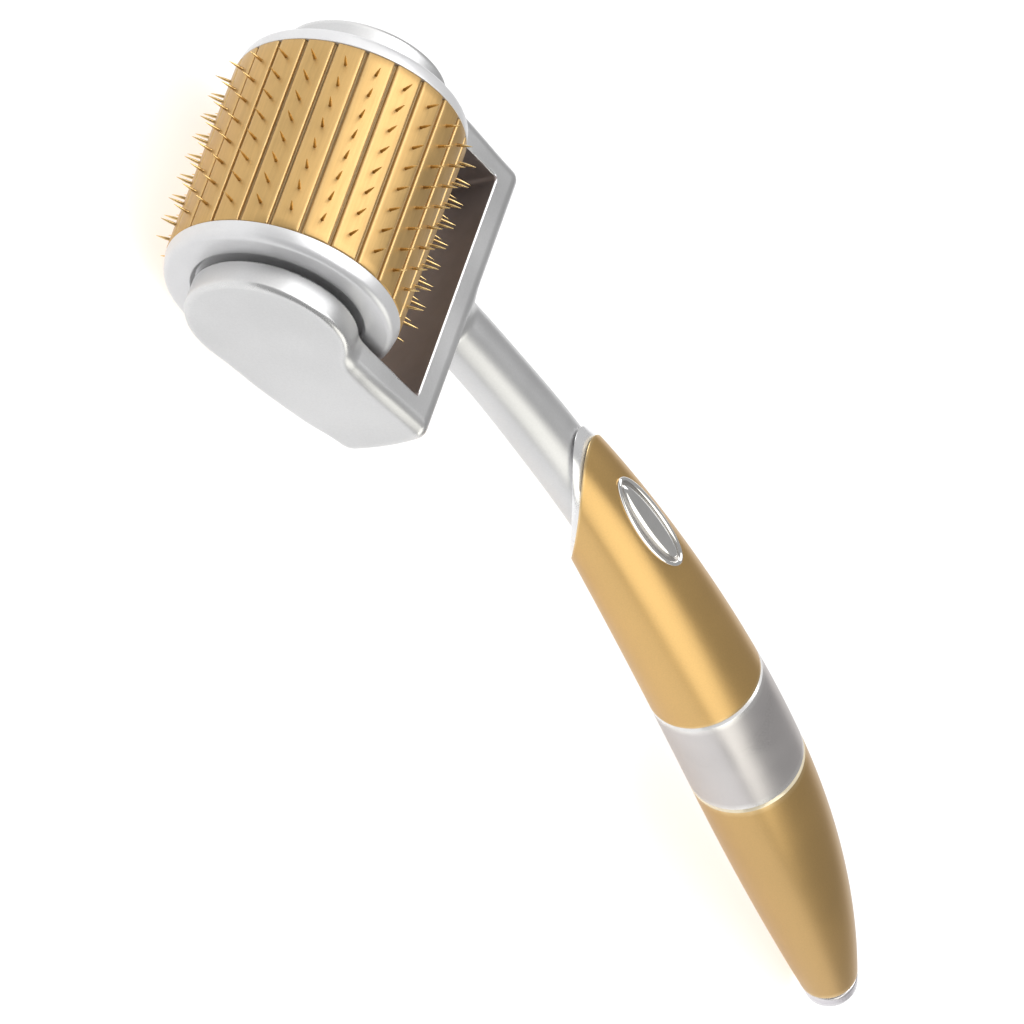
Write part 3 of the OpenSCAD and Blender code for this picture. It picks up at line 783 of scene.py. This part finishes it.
def build_cap():
    turn_s = CAP_S + CAP_LEN - CAP_ROUND
    flat_r = float(grip_at(turn_s)) - CAP_ROUND
    profile = [(CAP_S - 1.0, 1.4, 0.0), (CAP_S, 1.4, 0.0), (CAP_S, float(grip_at(CAP_S)) - 0.10, 0.6),
               (CAP_S + 0.08, float(grip_at(CAP_S + 0.08)) - 0.02, 1.0),
               (CAP_S + 0.5, float(grip_at(CAP_S + 0.5)), 0.2), (CAP_S + 1.0, float(grip_at(CAP_S + 1)), 0.0)]
    for k in range(9):
        a = math.pi / 2 * k / 8
        profile.append((turn_s + CAP_ROUND * math.sin(a), flat_r + CAP_ROUND * math.cos(a), 0.5))
    profile += [(CAP_S + CAP_LEN + 0.02, flat_r * 0.6, 0.0), (CAP_S + CAP_LEN + 0.03, 0.02, 0.0)]
    sides = 96
    a = np.arange(sides) * TAU / sides
    rings = np.array([off_path(s, r, a) for s, r, _ in profile])
    n = len(profile)
    points = rings.reshape(-1, 3)
    ends = [list(range(sides)), list(range((n - 1) * sides, n * sides))[::-1]]
    faces = outward_with_ends(points, torus_faces(n, sides, wrap=False), ends)
    piece("tail_cap", points, faces, "handle", ["end_cap"], [MAT["cap"]],
          edge=np.repeat([e for _, _, e in profile], sides), crease=60)


# --- Badge: a plain oval with a raised rim, a dished floor and a smooth dome ---


def oval_piece(name, profile, node, mats, zones, sides=96, middle=False):
    """Rings of an oval on the sleeve, from a profile of (inset from the outline, height, edge)."""
    a = np.arange(sides) * TAU / sides
    rings = []
    for inset, height, _ in profile:
        across = (BADGE_W / 2 - inset) * np.cos(a)
        along = (BADGE_LEN / 2 - inset) * np.sin(a)
        if inset > BADGE_W / 2 - 0.01:
            across = across * 0
            along = (BADGE_LEN / 2 - BADGE_W / 2) * np.sin(a) * 0.2
        s = BADGE_S + along
        rings.append(off_path(s, grip_at(s) + height, across / grip_at(BADGE_S)))
    rings = np.array(rings)
    points = rings.reshape(-1, 3)
    n = len(profile)
    marks = np.repeat([e for _, _, e in profile], sides)
    if middle:
        ends = [list(range(sides)), list(range((n - 1) * sides, n * sides))[::-1]]
        faces = outward_with_ends(points, torus_faces(n, sides, wrap=False), ends)
        zones = np.repeat(zones, sides).tolist() + [0, zones[-1]]
    else:
        faces = outward(points, torus_faces(n, sides))
        zones = np.repeat(zones, sides)
    return piece(name, points, faces, "handle", [node], mats, zones=zones, edge=marks,
                 crease=60)


def build_badge():
    rim = [(0.02, -0.45, 0), (0.02, 0.02, 0), (0.05, 0.12, 0.5), (0.12, 0.21, 1), (0.23, 0.25, 1),
           (0.34, 0.24, 1), (0.44, 0.17, 1), (0.52, 0.04, 0.3), (BADGE_RIM, -0.10, 0), (BADGE_RIM, -0.45, 0)]
    oval_piece("badge_rim", rim, "badge_bezel", [MAT["chrome"]], [0] * len(rim))
    plate = [(0.50, -0.5, 0), (0.50, -0.14, 0), (0.72, -0.16, 0), (0.92, -0.10, 0), (1.02, 0.02, 0.4),
             (1.12, 0.12, 1), (1.30, 0.20, 0.6), (1.55, 0.26, 0), (1.80, 0.285, 0), (2.0, 0.29, 0),
             (2.2, 0.295, 0)]
    oval_piece("badge_plate_dome", plate, "badge_plate", [MAT["chrome"], MAT["badge_floor"]],
               [1, 1, 1, 1, 0, 0, 0, 0, 0, 0], middle=True)


# --- Stage, light and camera ---

WORLD_LEVEL = 0.36
LIGHTS = [
    # name, azimuth, elevation, distance, width, height, radiance, colour, lights matt surfaces too
    ("floor_light", 0, 90, 1.50, 3.00, 3.00, 1.78, (1.0, 1.0, 1.0), True),
    ("top_soft", -40, 67, 0.90, 1.00, 1.00, 2.7, (1.0, 1.0, 1.0), True),
    ("key_soft", 137, 30, 0.23, 0.15, 0.20, 1.65, (1.0, 0.985, 0.90), False),
    ("front_soft", -40, 24, 0.70, 0.60, 0.60, 1.12, (1.0, 0.99, 0.975), False),
]


def build_stage():
    """The floor, the pale world and the lamps. The floor has a lamp of its own and takes no shadow."""
    half = 3.0
    mesh = bpy.data.meshes.new("floor")
    corners = [(-half, -half, 0), (half, -half, 0), (half, half, 0), (-half, half, 0)]
    mesh.from_pydata(corners, [], [(0, 1, 2, 3)])
    floor = bpy.data.objects.new("floor", mesh)
    bpy.context.scene.collection.objects.link(floor)
    t = Tree("floor_pale")
    tone = t.blend(t.span(t.noise(120.0, 2.0), 0.3, 0.7), rgb(0.90, 0.90, 0.90), rgb(0.93, 0.93, 0.93))
    t.links.new(tone, t.shader.inputs["Base Color"])
    t.links.new(t.span(t.noise(3.0), 0.3, 0.7, 0.75, 0.85), t.shader.inputs["Roughness"])
    t.shader.inputs["Specular IOR Level"].default_value = 0.2
    mesh.materials.append(t.mat)

    world = bpy.data.worlds.new("studio")
    bpy.context.scene.world = world
    world.use_nodes = True
    background = world.node_tree.nodes["Background"]
    background.inputs["Color"].default_value = rgb(1.0, 1.0, 1.0)
    background.inputs["Strength"].default_value = WORLD_LEVEL

    only_floor = bpy.data.collections.new("only_floor")
    only_floor.objects.link(floor)
    all_but_floor = bpy.data.collections.new("all_but_floor")
    all_but_floor.objects.link(floor)
    all_but_floor.collection_objects[0].light_linking.link_state = "EXCLUDE"
    for name, azimuth, elevation, distance, width, height, radiance, colour, fills in LIGHTS:
        lamp = bpy.data.lights.new(name, "AREA")
        lamp.shape = "RECTANGLE"
        lamp.size, lamp.size_y = width, height
        lamp.energy = radiance * math.pi * width * height
        lamp.color = colour
        obj = bpy.data.objects.new(name, lamp)
        back = direction(azimuth, elevation)
        obj.location = middle_of_box() + back * distance
        obj.rotation_mode = "QUATERNION"
        obj.rotation_quaternion = back.to_track_quat("Z", "Y")
        obj.visible_camera = False
        obj.visible_diffuse = fills
        bpy.context.scene.collection.objects.link(obj)
        if name == "floor_light":
            obj.light_linking.receiver_collection = only_floor
            obj.light_linking.blocker_collection = only_floor
            obj.visible_glossy = False
        else:
            obj.light_linking.receiver_collection = all_but_floor


def direction(azimuth, elevation):
    """Unit vector towards a place at that azimuth and elevation; azimuth 0 is -Y and 90 is +X."""
    a, e = math.radians(azimuth), math.radians(elevation)
    return Vector((math.sin(a) * math.cos(e), -math.cos(a) * math.cos(e), math.sin(e)))


def middle_of_box():
    return (CAD_LO + CAD_HI) / 2


CAM_AZIMUTH, CAM_ELEVATION, CAM_ROLL = 34.355, 31.607, 89.783
CAM_DISTANCE = 0.8529
CAM_LENS = 316.4
CAM_SHIFT = Vector((-2.807, -7.692, -7.745)) * MM  # from the middle of the box to the point aimed at


def build_camera():
    data = bpy.data.cameras.new("camera")
    data.sensor_width = 36.0
    data.lens = CAM_LENS
    data.clip_start, data.clip_end = 0.01, 20.0
    camera = bpy.data.objects.new("camera", data)
    bpy.context.scene.collection.objects.link(camera)
    back = direction(CAM_AZIMUTH, CAM_ELEVATION)
    camera.location = middle_of_box() + CAM_SHIFT + back * CAM_DISTANCE
    upright = back.to_track_quat("Z", "Y").to_matrix()
    camera.rotation_mode = "QUATERNION"
    camera.rotation_quaternion = (upright @ Matrix.Rotation(math.radians(CAM_ROLL), 3, "Z")).to_quaternion()
    bpy.context.scene.camera = camera


build_drum()
build_head()
build_handle()
build_badge()
build_stage()
build_camera()
bpy.context.scene.view_settings.view_transform = "Standard"
